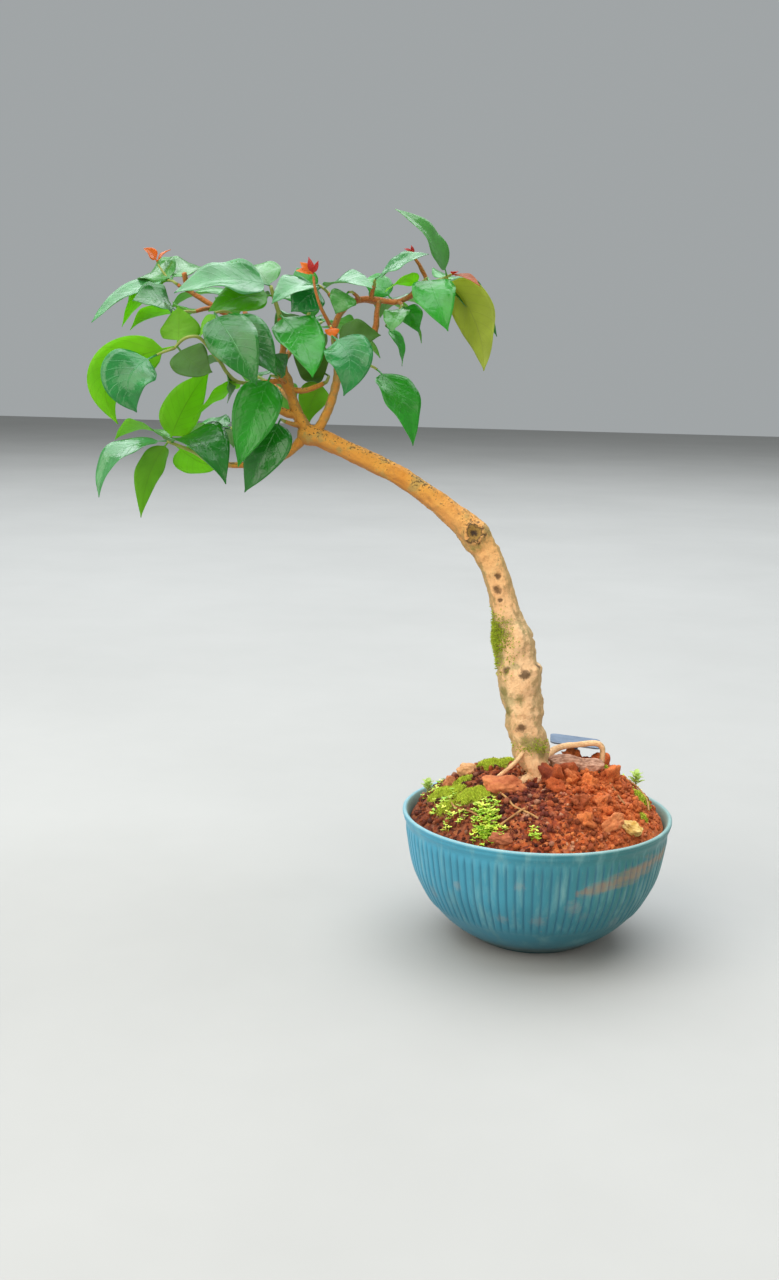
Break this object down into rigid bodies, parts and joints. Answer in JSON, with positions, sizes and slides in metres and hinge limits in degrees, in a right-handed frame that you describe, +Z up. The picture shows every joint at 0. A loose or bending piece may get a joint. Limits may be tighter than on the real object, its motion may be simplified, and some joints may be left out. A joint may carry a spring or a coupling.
{
  "type": "surinam cherry bonsai",
  "caption": "Small slanting tree with a bent trunk and glossy pointed leaves to one side, planted in a round ribbed plastic bowl of red soil.",
  "frame": {"origin": "centre of the underside of the pot's foot", "axes": "+Z up along the pot's axis, -Y towards the side that the tree is seen from, and the crown leans out along -X"},
  "size_m": [0.3645, 0.1774, 0.4486],
  "materials": {
    "pot_plastic": "matt, moulded with fine ribs",
    "soil_crumb": "damp crumbled laterite with moss",
    "bark": "matt bark",
    "leaf": "glossy above, matt below",
    "young_leaf": "satin",
    "weed": "matt",
    "laterite_stone": "rough, dry",
    "pale_stone": "rough, dry",
    "dry_bark": "rough, dry",
    "tag_plastic": "smooth"
  },
  "bodies": {
    "root": {"pot": "pot_plastic", "soil": "soil_crumb", "tree": "bark", "spray_left_tip": "leaf", "spray_left_low": "leaf", "spray_arch": "leaf", "spray_low": "leaf", "spray_front": "leaf", "spray_hanging": "leaf", "spray_low_front": "leaf", "spray_low_back": "leaf", "spray_crown": "leaf", "spray_top": "leaf", "spray_middle": "leaf", "spray_light": "leaf", "spray_fold": "leaf", "spray_lone": "leaf", "spray_inner": "leaf", "spray_high": "leaf", "spray_drop": "leaf", "spray_right": "leaf", "spray_outer": "leaf", "spray_back": "leaf", "spray_back_low": "leaf", "spray_left_back": "leaf", "spray_right_back": "leaf", "young_leaf_left": "young_leaf", "bud_centre": "young_leaf", "young_leaf_centre": "young_leaf", "sprout_red": "young_leaf", "young_leaf_outer": "young_leaf", "seedling_left": "weed", "seedling_right": "weed", "stone_flat": "laterite_stone", "stone_small": "laterite_stone", "chip_orange": "laterite_stone", "stone_front": "laterite_stone", "stone_pale": "pale_stone", "chip_yellow": "pale_stone", "bark_chip": "dry_bark", "plastic_tag": "tag_plastic"}
  },
  "joints": []
}
